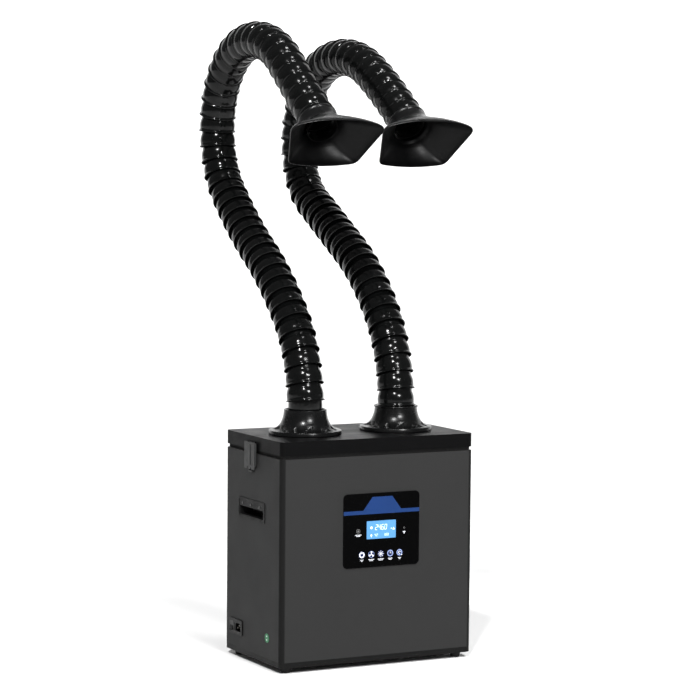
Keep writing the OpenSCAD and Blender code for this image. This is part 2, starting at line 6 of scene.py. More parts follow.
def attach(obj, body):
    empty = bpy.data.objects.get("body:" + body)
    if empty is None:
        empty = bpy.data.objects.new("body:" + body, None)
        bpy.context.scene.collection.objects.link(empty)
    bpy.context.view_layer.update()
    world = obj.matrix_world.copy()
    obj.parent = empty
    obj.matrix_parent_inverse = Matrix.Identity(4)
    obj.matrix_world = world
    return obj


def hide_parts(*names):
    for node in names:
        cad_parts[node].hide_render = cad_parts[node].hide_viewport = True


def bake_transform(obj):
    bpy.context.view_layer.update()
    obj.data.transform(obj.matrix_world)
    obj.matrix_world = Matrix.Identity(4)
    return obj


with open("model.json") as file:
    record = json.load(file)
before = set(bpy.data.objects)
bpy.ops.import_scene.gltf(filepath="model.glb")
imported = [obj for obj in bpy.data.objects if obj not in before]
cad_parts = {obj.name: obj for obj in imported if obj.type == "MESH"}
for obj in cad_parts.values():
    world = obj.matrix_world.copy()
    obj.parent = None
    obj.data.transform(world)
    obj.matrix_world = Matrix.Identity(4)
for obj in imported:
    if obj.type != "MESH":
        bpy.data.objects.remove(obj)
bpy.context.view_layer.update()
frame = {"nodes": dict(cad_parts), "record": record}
N = frame["nodes"]
MM = 0.001
HX, HY = 0.215, 0.1285
ZT = 0.458            # top of the cover
ARM_X, ARM_Y, Z_ARM = 0.103, -0.006, 0.510
PITCH, RINGS = 0.0325, 6
BENDS = {"left": [42, 16, -12, -60, -63, -50, -3], "right": [38, 23, 0, -78, -58, -43, -11]}
SIDE = {"left": -1, "right": 1}

# ------------------------------------------------------------------ camera
cam_d = bpy.data.cameras.new("camera")
cam_d.sensor_width = 36.0
cam_d.lens = 2626.9 / 700 * 36.0
cam_d.clip_end = 50
cam = bpy.data.objects.new("camera", cam_d)
bpy.context.scene.collection.objects.link(cam)
yaw, pitch, roll = math.radians(27.551), math.radians(4.535), math.radians(0.496)
fwd = Vector((math.sin(yaw) * math.cos(pitch), math.cos(yaw) * math.cos(pitch), -math.sin(pitch)))
rt = Vector((math.cos(yaw), -math.sin(yaw), 0))
up = rt.cross(fwd)
rt2 = rt * math.cos(roll) + up * math.sin(roll)
up2 = -rt * math.sin(roll) + up * math.cos(roll)
m = Matrix((rt2, up2, -fwd)).transposed().to_4x4()
m.translation = Vector((-2.4445, -4.6854, 1.0420))
cam.matrix_world = m
bpy.context.scene.camera = cam

# ------------------------------------------------------------------ materials
def srgb(h):
    h = h.lstrip("#")
    v = [int(h[i:i + 2], 16) / 255 for i in (0, 2, 4)]
    return [c / 12.92 if c <= 0.04045 else ((c + 0.055) / 1.055) ** 2.4 for c in v]

def material(name, col, rough=0.45, spec=0.5, metal=0.0, coat=0.0, coat_rough=0.1, var=0.12, var_scale=9.0,
             grain=0.0, grain_scale=900.0, rough_var=0.08, sheen=0.0, emit=None, emit_s=0.0, second=None, wear=0.0, ior=1.5):
    """A painted, moulded or plated surface: blotchy colour, uneven gloss, fine grain in the relief."""
    mt = bpy.data.materials.new(name)
    mt.use_nodes = True
    nt = mt.node_tree
    b = nt.nodes["Principled BSDF"]
    L = nt.links.new
    tc = nt.nodes.new("ShaderNodeTexCoord")
    n1 = nt.nodes.new("ShaderNodeTexNoise"); n1.inputs["Scale"].default_value = var_scale; n1.inputs["Detail"].default_value = 6
    L(tc.outputs["Object"], n1.inputs["Vector"])
    cr = nt.nodes.new("ShaderNodeValToRGB")
    c2 = second or [min(1, c * (1 + var)) for c in col]
    c1 = [c * (1 - var) for c in col]
    cr.color_ramp.elements[0].position = 0.3; cr.color_ramp.elements[1].position = 0.7
    cr.color_ramp.elements[0].color = (*c1, 1); cr.color_ramp.elements[1].color = (*c2, 1)
    L(n1.outputs["Fac"], cr.inputs["Fac"])
    col_out = cr.outputs["Color"]
    if wear > 0:
        geo = nt.nodes.new("ShaderNodeNewGeometry")
        wr = nt.nodes.new("ShaderNodeValToRGB")
        wr.color_ramp.elements[0].position = 0.53; wr.color_ramp.elements[1].position = 0.62
        wr.color_ramp.elements[0].color = (0, 0, 0, 1); wr.color_ramp.elements[1].color = (wear, wear, wear, 1)
        L(geo.outputs["Pointiness"], wr.inputs["Fac"])
        mx = nt.nodes.new("ShaderNodeMix"); mx.data_type = "RGBA"
        L(wr.outputs["Color"], mx.inputs["Factor"])
        L(col_out, mx.inputs[6])
        mx.inputs[7].default_value = (*[min(1, c * 2.6 + 0.02) for c in col], 1)
        col_out = mx.outputs[2]
    L(col_out, b.inputs["Base Color"])
    n2 = nt.nodes.new("ShaderNodeTexNoise"); n2.inputs["Scale"].default_value = var_scale * 3.1; n2.inputs["Detail"].default_value = 5
    L(tc.outputs["Object"], n2.inputs["Vector"])
    mr = nt.nodes.new("ShaderNodeMapRange")
    mr.inputs["From Min"].default_value = 0.3; mr.inputs["From Max"].default_value = 0.7
    mr.inputs["To Min"].default_value = max(0.02, rough - rough_var); mr.inputs["To Max"].default_value = min(1, rough + rough_var)
    L(n2.outputs["Fac"], mr.inputs["Value"])
    L(mr.outputs["Result"], b.inputs["Roughness"])
    b.inputs["Metallic"].default_value = metal
    b.inputs["Specular IOR Level"].default_value = spec
    b.inputs["IOR"].default_value = ior
    b.inputs["Coat Weight"].default_value = coat
    b.inputs["Coat Roughness"].default_value = coat_rough
    b.inputs["Sheen Weight"].default_value = sheen
    if grain > 0:
        n3 = nt.nodes.new("ShaderNodeTexNoise"); n3.inputs["Scale"].default_value = grain_scale; n3.inputs["Detail"].default_value = 3
        L(tc.outputs["Object"], n3.inputs["Vector"])
        bp = nt.nodes.new("ShaderNodeBump"); bp.inputs["Strength"].default_value = grain; bp.inputs["Distance"].default_value = 0.0004
        L(n3.outputs["Fac"], bp.inputs["Height"])
        L(bp.outputs["Normal"], b.inputs["Normal"])
    if emit:
        b.inputs["Emission Color"].default_value = (*emit, 1)
        b.inputs["Emission Strength"].default_value = emit_s
    return mt

M = {
    "shell_paint": material("shell_paint", [0.0198] * 3, 0.6, 0.10, var=0.03, var_scale=5, grain=0.18, grain_scale=2600, rough_var=0.04),
    "base_black": material("base_black", [0.004] * 3, 0.5, 0.10, var=0.1, grain=0.2, grain_scale=2600),
    "cover_black": material("cover_black", [0.0020, 0.0020, 0.0022], 0.40, 0.045, var=0.08, var_scale=6, grain=0.16, grain_scale=2200, rough_var=0.05),
    "foot_rubber": material("foot_rubber", [0.012] * 3, 0.8, 0.25, var=0.2, var_scale=60, grain=0.4, grain_scale=700),
    "zinc_steel": material("zinc_steel", [0.58, 0.58, 0.55], 0.32, 0.5, metal=1.0, var=0.12, var_scale=80, grain=0.15, grain_scale=900),
    "black_screw": material("black_screw", [0.012] * 3, 0.38, 0.5, var=0.2, var_scale=120, grain=0.2, grain_scale=1200),
    "handle_plastic": material("handle_plastic", [0.0075] * 3, 0.5, 0.10, var=0.1, var_scale=20, grain=0.3, grain_scale=1800),
    "inlet_plastic": material("inlet_plastic", [0.0025] * 3, 0.36, 0.10, var=0.1, var_scale=30, grain=0.2, grain_scale=1800),
    "plated_brass": material("plated_brass", [0.16, 0.15, 0.13], 0.4, 0.3, metal=1.0, var=0.1, var_scale=100, grain=0.1),
    "switch_plastic": material("switch_plastic", [0.0022] * 3, 0.2, 0.16, var=0.1, var_scale=40, grain=0.05),
    "green_label": material("green_label", [0.008, 0.13, 0.045], 0.35, 0.2, var=0.15, var_scale=60, grain=0.1),
    "panel_gloss": material("panel_gloss", [0.0003, 0.0003, 0.0004], 0.10, 0.02, var=0.1, var_scale=12, grain=0.02, grain_scale=500, rough_var=0.03),
    "lcd_glass": material("lcd_glass", [0.045, 0.13, 0.27], 0.3, 0.08, var=0.07, var_scale=90, emit=[0.12, 0.37, 0.70], emit_s=0.72),
    "lcd_ink": material("lcd_ink", [0.75, 0.9, 1.0], 0.4, 0.3, var=0.05, var_scale=200, emit=[0.7, 0.88, 1.0], emit_s=0.5),
    "board_green": material("board_green", [0.02, 0.1, 0.04], 0.4, 0.5, var=0.2, var_scale=60, grain=0.1),
    "key_blue": material("key_blue", [0.004, 0.010, 0.055], 0.22, 0.12, var=0.15, var_scale=80, grain=0.05),
    "print_white": material("print_white", [0.75, 0.77, 0.82], 0.45, 0.3, var=0.06, var_scale=200),
    "print_pale": material("print_pale", [0.26, 0.33, 0.56], 0.45, 0.2, var=0.08, var_scale=200),
    "print_blue": material("print_blue", [0.0085, 0.030, 0.115], 0.35, 0.08, var=0.06, var_scale=14, grain=0.03),
    "print_grey": material("print_grey", [0.10] * 3, 0.5, 0.3, var=0.1, var_scale=200),
    "latch_grey": material("latch_grey", [0.020, 0.0205, 0.0205], 0.42, 0.14, var=0.08, var_scale=20, grain=0.2, grain_scale=1500, wear=0.12),
    "keeper_steel": material("keeper_steel", [0.4, 0.4, 0.41], 0.35, 0.5, metal=1.0, var=0.1, var_scale=60, grain=0.1),
    "sheet_steel": material("sheet_steel", [0.45, 0.46, 0.47], 0.38, 0.5, metal=1.0, var=0.12, var_scale=14, grain=0.1, grain_scale=300),
    "seal_foam": material("seal_foam", [0.006] * 3, 0.9, 0.15, var=0.3, var_scale=200, grain=0.7, grain_scale=900),
    "pre_media": material("pre_media", [0.62, 0.64, 0.66], 0.95, 0.1, var=0.2, var_scale=150, grain=0.9, grain_scale=500, sheen=0.3),
    "hepa_media": material("hepa_media", [0.75, 0.72, 0.62], 0.95, 0.1, var=0.12, var_scale=90, grain=0.6, grain_scale=500, sheen=0.2),
    "carbon_cell": material("carbon_cell", [0.03] * 3, 0.8, 0.3, var=0.4, var_scale=180, grain=0.9, grain_scale=300),
    "motor_steel": material("motor_steel", [0.1, 0.11, 0.115], 0.4, 0.5, metal=0.6, var=0.15, var_scale=25, grain=0.1),
    "fan_plastic": material("fan_plastic", [0.03, 0.033, 0.036], 0.4, 0.45, var=0.1, var_scale=30, grain=0.15),
    "harness_red": material("harness_red", [0.25, 0.02, 0.02], 0.45, 0.4, var=0.2, var_scale=80, grain=0.2),
    "grille_black": material("grille_black", [0.010] * 3, 0.45, 0.35, var=0.1, var_scale=20, grain=0.25, grain_scale=1600),
    "flange_plastic": material("flange_plastic", [0.0026, 0.0027, 0.0028], 0.24, 0.24, var=0.1, var_scale=25, grain=0.16, grain_scale=300, rough_var=0.06),
    "hose_plastic": material("hose_plastic", [0.0022, 0.0024, 0.0024], 0.15, 0.20, var=0.2, var_scale=30, grain=0.34, grain_scale=170, rough_var=0.05),
    # hose_inner: darker and low-gloss, painted shade for the inside of the hose bore
    "hose_inner": material("hose_inner", [0.0014] * 3, 0.75, 0.05, var=0.2, var_scale=40, grain=0.2, grain_scale=500),
    # hood_plastic and hood_skin are shaded and lit copies of one plastic: the darker one on the inside is painted shade
    "hood_plastic": material("hood_plastic", [0.0012, 0.0012, 0.0013], 0.38, 0.12, var=0.12, var_scale=18, grain=0.2, grain_scale=900, rough_var=0.06),
    "hood_skin": material("hood_skin", [0.0026, 0.0026, 0.0028], 0.3, 0.3, var=0.12, var_scale=18, grain=0.15, grain_scale=900, rough_var=0.06),
}
def paint_corner_shade(mt, lo=0.03, hi=0.42, k=0.12):
    """Painted shade: the rounded bends get a darker base colour than the flat faces, standing in for the dark
    reflection they catch; a mask on how far a face turns between X and Y.
    """
    nt = mt.node_tree; L = nt.links.new; b = nt.nodes["Principled BSDF"]
    src = b.inputs["Base Color"].links[0].from_socket
    geo = nt.nodes.new("ShaderNodeNewGeometry"); sp = nt.nodes.new("ShaderNodeSeparateXYZ"); L(geo.outputs["Normal"], sp.inputs[0])
    mu = nt.nodes.new("ShaderNodeMath"); mu.operation = "MULTIPLY"; L(sp.outputs["X"], mu.inputs[0]); L(sp.outputs["Y"], mu.inputs[1])
    ab = nt.nodes.new("ShaderNodeMath"); ab.operation = "ABSOLUTE"; L(mu.outputs[0], ab.inputs[0])
    mr = nt.nodes.new("ShaderNodeMapRange"); mr.inputs["From Min"].default_value = lo * 0.5; mr.inputs["From Max"].default_value = hi * 0.5
    L(ab.outputs[0], mr.inputs["Value"])
    mx = nt.nodes.new("ShaderNodeMix"); mx.data_type = "RGBA"; L(mr.outputs["Result"], mx.inputs["Factor"]); L(src, mx.inputs[6])
    # the dark colour painted into the bends as shade and reflection
    mx.inputs[7].default_value = (0.034 * k, 0.034 * k, 0.034 * k, 1); L(mx.outputs[2], b.inputs["Base Color"])
slot_of = {s["node"]: s["material_slot"] for s in frame["record"]["subparts"]}
# painted shade and reflection on the shell's rounded vertical corners
paint_corner_shade(M["shell_paint"])
for name, o in N.items():
    o.data.materials.clear()
    o.data.materials.append(M[slot_of[name]])

# ------------------------------------------------------------------ helpers
def obj_from(name, verts, faces, mat, smooth=True, angle=35, slots=None):
    me = bpy.data.meshes.new(name)
    me.from_pydata([tuple(v) for v in verts], [], faces)
    if slots:
        me.polygons.foreach_set("material_index", slots)
    me.validate()
    bm = bmesh.new(); bm.from_mesh(me)
    bmesh.ops.remove_doubles(bm, verts=bm.verts, dist=1e-6)
    bmesh.ops.recalc_face_normals(bm, faces=bm.faces)
    bm.to_mesh(me); bm.free()
    o = bpy.data.objects.new(name, me)
    bpy.context.scene.collection.objects.link(o)
    me.materials.append(mat)
    if smooth:
        shade(o, angle)
    return o

def shade(o, angle=35):
    me = o.data
    me.polygons.foreach_set("use_smooth", [True] * len(me.polygons))
    bm = bmesh.new(); bm.from_mesh(me)
    lim = math.radians(angle)
    for e in bm.edges:
        e.smooth = len(e.link_faces) == 2 and e.calc_face_angle(0) < lim
    bm.to_mesh(me); bm.free()

def bevel(o, w, seg=2, angle=32):
    md = o.modifiers.new("edge", "BEVEL")
    md.width = w; md.segments = seg; md.limit_method = "ANGLE"; md.angle_limit = math.radians(angle)
    md.use_clamp_overlap = True; md.harden_normals = False
    return md

def lathe(profile, n=96, mat4=None):
    """Closed profile of (radius, height) turned about Z; returns verts, faces."""
    v, f = [], []
    k = len(profile)
    for i in range(n):
        a = 2 * math.pi * i / n
        for r, z in profile:
            p = Vector((r * math.cos(a), r * math.sin(a), z))
            v.append(mat4 @ p if mat4 else p)
    for i in range(n):
        for j in range(k):
            a, b = i * k + j, i * k + (j + 1) % k
            c, d = ((i + 1) % n) * k + (j + 1) % k, ((i + 1) % n) * k + j
            f.append((a, b, c, d))
    return v, f

def add(vs, fs, v, f):
    o = len(vs)
    vs.extend(v); fs.extend(tuple(i + o for i in t) for t in f)

# ------------------------------------------------------------------ hose
def heading(b, s):
    """Heading in radians at arc length s (in rings)."""
    s = max(0.0, min(s, RINGS * 7 - 1e-9)); k = int(s // RINGS)
    return math.radians(sum(b[:k]) + b[k] * (s - k * RINGS) / RINGS)

def route(b):
    """Points of the hose centreline at every ring end, as the frame builds them."""
    p = [(0.0, 0.0)]
    for i in range(RINGS * 7):
        t = heading(b, i + 0.5)
        p.append((p[-1][0] + math.sin(t) * PITCH, p[-1][1] + math.cos(t) * PITCH))
    return p

def hose_mat(side, s):
    """Frame at arc length s rings: Z along the hose."""
    b = BENDS[side]; p = route_pts[side]
    s0 = max(0, min(int(math.floor(s)), len(p) - 2)); u = s - s0
    y = p[s0][0] + (p[s0 + 1][0] - p[s0][0]) * u
    z = p[s0][1] + (p[s0 + 1][1] - p[s0][1]) * u
    t = heading(b, s)
    return Matrix.Translation((SIDE[side] * ARM_X, ARM_Y + y, Z_ARM + z)) @ Matrix.Rotation(-t, 4, "X")

route_pts = {s: route(BENDS[s]) for s in BENDS}

RING = [(38.6, -6.4), (39.15, -6.0), (39.2, -4.9), (38.75, -4.2), (37.7, -3.5), (37.0, -2.4), (36.75, -0.6), (36.95, 2.0), (37.2, 5.5), (37.1, 9.0),
        (36.6, 12.5), (35.9, 15.5), (34.9, 18.5), (33.9, 20.9), (33.5, 22.0), (33.2, 24.0), (32.9, 27.0), (32.4, 31.0), (32.0, 37.0), (30.6, 37.0), (30.8, 31.0),
        (31.6, 26.0), (32.4, 21.0), (34.0, 15.0), (35.3, 8.0), (35.2, 1.0), (35.9, -3.0), (36.9, -6.4)]

def ring_mesh(vs, fs, side, s, prof=RING, n=88):
    m4 = hose_mat(side, s + 0.5) @ Matrix.Translation((0, 0, -0.5 * PITCH))
    v, f = lathe([(r * MM, z * MM) for r, z in prof], n, m4)
    add(vs, fs, v, f)

for side in ("left", "right"):
    start = 0.62 if side == "left" else 0.12          # the first lip stands higher on the left arm
    count = int(RINGS * 7 - start) + 1
    groups = {}
    for i in range(count):
        s = start + i
        if s > RINGS * 7 - 0.35:
            break
        g = int((s + 0.5 + 3) // 6)                    # 0: lower half of section 1, 7: upper half of section 7
        groups.setdefault(g, []).append(s)
    for g, ss in groups.items():
        vs, fs = [], []
        if g == 0:
            # plain cuff from the collar to the first lip
            v, f = lathe([(r * MM, z * MM) for r, z in [(33.9, -6.0), (34.3, -4.0), (34.4, 6.0), (34.0, 16.0), (33.0, 26.0), (32.2, 32.0), (30.6, 32.0), (31.5, 24.0), (32.6, 10.0), (32.4, -6.0)]], 88, hose_mat(side, 0.0))
            add(vs, fs, v, f)
        for s in ss:
            ring_mesh(vs, fs, side, s)
        # the inner side of each ring, from the far lip back down the bore, takes a darker, low-gloss material: painted
        # shade for the inside of the hose
        outer = len(RING) - 10
        lead = 10 * 88 if g == 0 else 0
        idx = [0] * lead + [1 if (t % len(RING)) >= outer else 0 for t in range(len(fs) - lead)]
        o = obj_from(f"{side}_hose_rings_{g}", vs, fs, M["hose_plastic"], angle=50, slots=idx)
        o.data.materials.append(M["hose_inner"])
        if g == 0:
            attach(o, f"{side}_arm_1"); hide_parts(f"{side}_hose_1")
        elif g == 7:
            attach(o, f"{side}_arm_7"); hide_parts(f"{side}_hose_7")
        else:
            a = hose_mat(side, 6 * g - 3).translation; b_ = hose_mat(side, 6 * g + 3).translation
            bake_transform(o)
            if g < 6:
                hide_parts(f"{side}_hose_{g + 1}")

# ------------------------------------------------------------------ flanges
FL = [(30.6, 0.2), (72.4, 0.2), (73.0, 0.8), (73.0, 7.6), (72.5, 8.3), (71.4, 8.7), (69.0, 9.0), (66.0, 9.6), (62.5, 10.8), (59.0, 12.6), (56.0, 14.8), (53.2, 17.6),
      (50.6, 21.0), (48.4, 24.8), (46.6, 29.0), (45.2, 33.4), (44.2, 38.0), (43.5, 42.4), (43.1, 46.0), (42.9, 48.8), (42.7, 49.6), (42.1, 50.0), (40.2, 50.0), (39.6, 49.4), (38.8, 46.0),
      (38.4, 40.0), (38.2, 20.0), (30.6, 12.0)]
def flange_mesh(cx, knob):
    v, f = [], []
    prof = []
    for i in range(len(FL)):
        a_, b_ = FL[i], FL[(i + 1) % len(FL)]
        steps = max(1, int(math.dist(a_, b_) / 1.1)) if 4 <= i <= 20 else 1
        prof += [(a_[0] + (b_[0] - a_[0]) * k / steps, a_[1] + (b_[1] - a_[1]) * k / steps, 4 <= i <= 20) for k in range(steps)]
    n = 288
    for i in range(n):
        t = 2 * math.pi * i / n
        for r, z, top in prof:
            x, y = r * math.cos(t), r * math.sin(t)
            if top:
                for q in range(4):
                    w_ = math.radians(45 + 90 * q)
                    d = math.hypot(x - 60 * math.cos(w_), y - 60 * math.sin(w_))
                    if d < 6.6:                       # screw well
                        e = min(1.0, max(0.0, (6.6 - d) / 0.8)); z = z + (min(z, 8.2) - z) * e
                    # arched flat, a quarter turn on from the wells: a shallow lens pressed into the flare
                    c_ = math.radians(90 * q)
                    u = math.atan2(math.sin(t - c_), math.cos(t - c_)) / 0.52
                    if abs(u) < 1:
                        crest = 9.2 + 9.5 * (1 - u * u)
                        if 8.8 < z < crest:
                            z = 8.8 + (z - 8.8) * 0.35
            v.append(Vector((cx + x * MM, ARM_Y + y * MM, ZT + z * MM)))
    k = len(prof)
    for i in range(n):
        for j in range(k):
            f.append((i * k + j, i * k + (j + 1) % k, ((i + 1) % n) * k + (j + 1) % k, ((i + 1) % n) * k + j))
    if knob:                                          # rolled bead at the collar's top
        m_ = Matrix.Translation((cx, ARM_Y, ZT + 0.0487))
        bv, bf = lathe([((43.4 + 1.7 * math.cos(a_ * math.pi / 6)) * MM, 1.7 * math.sin(a_ * math.pi / 6) * MM) for a_ in range(12)], 128, m_)
        add(v, f, bv, bf)
    return v, f
for side in ("left", "right"):
    v, f = flange_mesh(SIDE[side] * ARM_X, side == "right")
    o = obj_from(f"{side}_flange_moulding", v, f, M["flange_plastic"], angle=38)
    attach(o, "cover"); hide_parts(f"{side}_flange")

# ------------------------------------------------------------------ hoods
MOUTH_W = 101.0
HALF = [(0, 72), (30, 71.2), (55, 67.5), (76, 62), (88, 57.5), (96, 52), (100.4, 45), (101, 37.5), (99.3, 30), (94.5, 14), (89.5, -3), (84.5, -20),
        (80.5, -34), (78, -42.5), (73.5, -49.5), (66, -53.5), (52, -56), (30, -58.6), (0, -60)]

def catmull(pts, per=5):
    out = []
    n = len(pts)
    for i in range(n):
        p0, p1, p2, p3 = pts[(i - 1) % n], pts[i], pts[(i + 1) % n], pts[(i + 2) % n]
        for k in range(per):
            t = k / per
            out.append(tuple(0.5 * (2 * p1[d] + (p2[d] - p0[d]) * t + (2 * p0[d] - 5 * p1[d] + 4 * p2[d] - p3[d]) * t * t
                                    + (3 * p1[d] - p0[d] - 3 * p2[d] + p3[d]) * t ** 3) for d in (0, 1)))
    return out

MOUTH = catmull(HALF + [(-x, y) for x, y in reversed(HALF[1:-1])], 5)
TILT = math.radians(6)
REACH = 72.0

def hood_ring(t, inset=0.0, zoff=0.0, r0=40.6):
    e = 0.35 * t + 0.65 * t * t * (3 - 2 * t)
    a = TILT * t
    z = 18 + (REACH - 18) * t
    out = []
    for x, y in MOUTH:
        ang = math.atan2(x * 0.8, y)
        qx, qy = r0 * math.sin(ang), r0 * math.cos(ang)
        px, py = qx + (x - qx) * e, qy + (y - qy) * e
        # the four creases that run from the neck to the corners
        l = math.hypot(px, py)
        k = (l - inset) / l
        px, py = px * k, py * k
        out.append(Vector((px, py * math.cos(a), z + zoff + py * math.sin(a))) * MM)
    return out

for side in ("left", "right"):
    m4 = hose_mat(side, RINGS * 7 - 1e-6)
    m4.translation = Vector((SIDE[side] * ARM_X, ARM_Y + route_pts[side][-1][0], Z_ARM + route_pts[side][-1][1]))
    H = math.radians(sum(BENDS[side]))
    m4 = Matrix.Translation(m4.translation) @ Matrix.Rotation(-H, 4, "X")
    nseg = len(MOUTH)
    rings = []
    T = 2.2
    # outside, neck to mouth, a rolled lip, then back down the inside
    def circ(r, z):
        return [Vector((r * math.sin(math.atan2(x * 0.8, y)), r * math.cos(math.atan2(x * 0.8, y)), z)) * MM for x, y in MOUTH]
    rings.append(circ(38.2, -7.0)); rings.append(circ(39.6, -7.0)); rings.append(circ(40.4, -6.2)); rings.append(circ(40.5, -3.4)); rings.append(circ(39.8, -2.6))
    for z in (2, 8, 13):
        rings.append(circ(39.8, z))
    for i in range(15):
        t = i / 14
        rings.append(hood_ring(t))
    rings.append(hood_ring(1, 0.2, 0.9)); rings.append(hood_ring(1, 0.9, 1.4)); rings.append(hood_ring(1, 1.7, 1.1)); rings.append(hood_ring(1, 2.1, 0.2))
    for i in range(14, -1, -1):
        t = i / 14
        rings.append(hood_ring(t, T, 0.0 if i else 0.8))
    rings.append(circ(34.6, 16.0)); rings.append(circ(34.0, 14.0)); rings.append(circ(34.0, 0.0)); rings.append(circ(34.6, -6.5))
    vs = [m4 @ p for r in rings for p in r]
    fs = []
    k = len(rings)
    for j in range(k):
        for i in range(nseg):
            a, b_ = j * nseg + i, j * nseg + (i + 1) % nseg
            c, d = ((j + 1) % k) * nseg + (i + 1) % nseg, ((j + 1) % k) * nseg + i
            fs.append((a, b_, c, d))
    o = obj_from(f"{side}_hood_shell", vs, fs, M["hood_skin"], angle=45)
    # painted shade: the inward-facing faces take the darker hood_plastic, the outside keeps the lighter hood_skin
    o.data.materials.append(M["hood_plastic"])
    inner0 = 8 + 15 + 3
    for p in o.data.polygons:
        pass
    inv = m4.inverted()
    ctr_faces = 0
    for p in o.data.polygons:
        c = inv @ p.center; nrm = inv.to_3x3() @ p.normal
        rad = Vector((c.x, c.y, 0))
        if rad.length > 1e-6 and nrm.dot(rad.normalized()) < -0.05:
            p.material_index = 1
    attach(o, f"{side}_hood"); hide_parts(f"{side}_hood")

# ------------------------------------------------------------------ CAD nodes that stay: soft edges
for nm, w, seg in (("cabinet_shell", 0.0006, 2), ("top_cover", 0.0016, 3), ("base_pan", 0.0010, 2), ("latch_keepers", 0.0003, 1), ("left_latch", 0.0005, 2),
                   ("right_latch", 0.0005, 2), ("inlet_module", 0.0005, 2), ("exhaust_grille", 0.0005, 2), ("left_handle", 0.0005, 2), ("right_handle", 0.0005, 2),
                   ("feet", 0.0007, 2), ("control_panel", 0.0003, 2), ("rocker_switch", 0.0004, 2)):
    shade(N[nm], 28)
    bevel(N[nm], w, seg, 38)
for nm in N:
    if not N[nm].modifiers:
        shade(N[nm], 30)

# ------------------------------------------------------------------ control panel printing
FY = -HY - 0.0022          # the panel's front face
def flat(name, pts, mat, body, h=0.00012, y=FY, bev=0.0):
    """A printed or stuck-on shape: outline in (x, z) millimetres, h thick, standing on the front face."""
    vs = [Vector((x * MM, y, z * MM)) for x, z in pts] + [Vector((x * MM, y - h, z * MM)) for x, z in pts]
    n = len(pts)
    fs = [tuple(range(n)), tuple(range(2 * n - 1, n - 1, -1))] + [(i, (i + 1) % n, n + (i + 1) % n, n + i) for i in range(n)]
    o = obj_from(name, vs, fs, mat, smooth=False)
    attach(o, body)
    return o

def joined(name, shapes, mat, body, h=0.00012, y=FY):
    vs, fs = [], []
    for pts in shapes:
        n = len(pts)
        v = [Vector((x * MM, y + 0.00002, z * MM)) for x, z in pts] + [Vector((x * MM, y - h, z * MM)) for x, z in pts]
        f = [tuple(range(n)), tuple(range(2 * n - 1, n - 1, -1))] + [(i, (i + 1) % n, n + (i + 1) % n, n + i) for i in range(n)]
        add(vs, fs, v, f)
    me = bpy.data.meshes.new(name)
    me.from_pydata([tuple(v) for v in vs], [], fs); me.validate()
    bm = bmesh.new(); bm.from_mesh(me); bmesh.ops.recalc_face_normals(bm, faces=bm.faces); bm.to_mesh(me); bm.free()
    o = bpy.data.objects.new(name, me)
    bpy.context.scene.collection.objects.link(o)
    me.materials.append(mat)
    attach(o, body)
    return o

def rect(x0, x1, z0, z1): return [(x0, z0), (x1, z0), (x1, z1), (x0, z1)]
def disc(cx, cz, r, n=40): return [(cx + r * math.cos(2 * math.pi * i / n), cz + r * math.sin(2 * math.pi * i / n)) for i in range(n)]
def arc_band(cx, cz, r0, r1, a0, a1, n=28):
    """Quads of a ring sector, as separate shapes."""
    out = []
    for i in range(n):
        t0, t1 = math.radians(a0 + (a1 - a0) * i / n), math.radians(a0 + (a1 - a0) * (i + 1) / n)
        out.append([(cx + r0 * math.cos(t0), cz + r0 * math.sin(t0)), (cx + r1 * math.cos(t0), cz + r1 * math.sin(t0)),
                    (cx + r1 * math.cos(t1), cz + r1 * math.sin(t1)), (cx + r0 * math.cos(t1), cz + r0 * math.sin(t1))])
    return out
def bar(cx, cz, a, r0, r1, w):
    """A bar from radius r0 to r1 at angle a about (cx, cz)."""
    t = math.radians(a); d = (math.cos(t), math.sin(t)); q = (-d[1], d[0])
    return [(cx + d[0] * r0 - q[0] * w / 2, cz + d[1] * r0 - q[1] * w / 2), (cx + d[0] * r1 - q[0] * w / 2, cz + d[1] * r1 - q[1] * w / 2),
            (cx + d[0] * r1 + q[0] * w / 2, cz + d[1] * r1 + q[1] * w / 2), (cx + d[0] * r0 + q[0] * w / 2, cz + d[1] * r0 + q[1] * w / 2)]

# blue band with its raised tab
joined("panel_band", [rect(-78.9, 90.9, 307.0, 314.6)], M["print_blue"], "cabinet")
joined("panel_tab", [[(-35.5, 314.5), (49.5, 314.5), (29.5, 341.0), (-15.0, 341.0)]], M["print_blue"], "cabinet")
KX = [-38 + 21.25 * i for i in range(5)]; KZ = 226.4
KEYS = ["key_power", "key_fan", "key_boost", "key_timer", "key_filter"]
KY = -HY - 0.0024
def key_print(i, shapes, mat="print_white", h=0.0001):
    joined(f"{KEYS[i]}_print_{mat}", shapes, M[mat], KEYS[i], h=h, y=KY)
c = KX[0]
key_print(0, arc_band(c, KZ, 3.6, 6.0, 112, 428) + [bar(c, KZ, 90, 2.0, 6.6, 1.5)])
c = KX[1]
fan = []
for a in (90, 210, 330):
    fan.append([(c + r * math.cos(math.radians(a + d)), KZ + r * math.sin(math.radians(a + d))) for r, d in ((1.0, 0), (3.4, -24), (5.6, -28), (6.1, -8), (5.9, 12), (3.6, 20))])
key_print(1, fan + [disc(c, KZ, 1.2, 20)])
key_print(1, arc_band(c, KZ, 6.1, 6.6, 0, 360, 40), "print_pale")
c = KX[2]
key_print(2, [bar(c, KZ, a, 0.4, 6.2, 0.85) for a in range(0, 360, 45)])
c = KX[3]
key_print(3, arc_band(c, KZ, 4.9, 6.5, 0, 360, 40), "print_pale")
key_print(3, [bar(c, KZ, 90, -0.5, 3.6, 1.0), bar(c, KZ, 0, -0.5, 2.9, 1.0)])
c = KX[4]
key_print(4, arc_band(c - 0.4, KZ + 0.4, 4.6, 6.2, 0, 360, 40), "print_pale")
key_print(4, arc_band(c - 0.4, KZ + 0.4, 1.7, 2.8, 0, 300, 24) + [bar(c - 0.4, KZ + 0.4, -45, 5.6, 8.0, 1.9)])
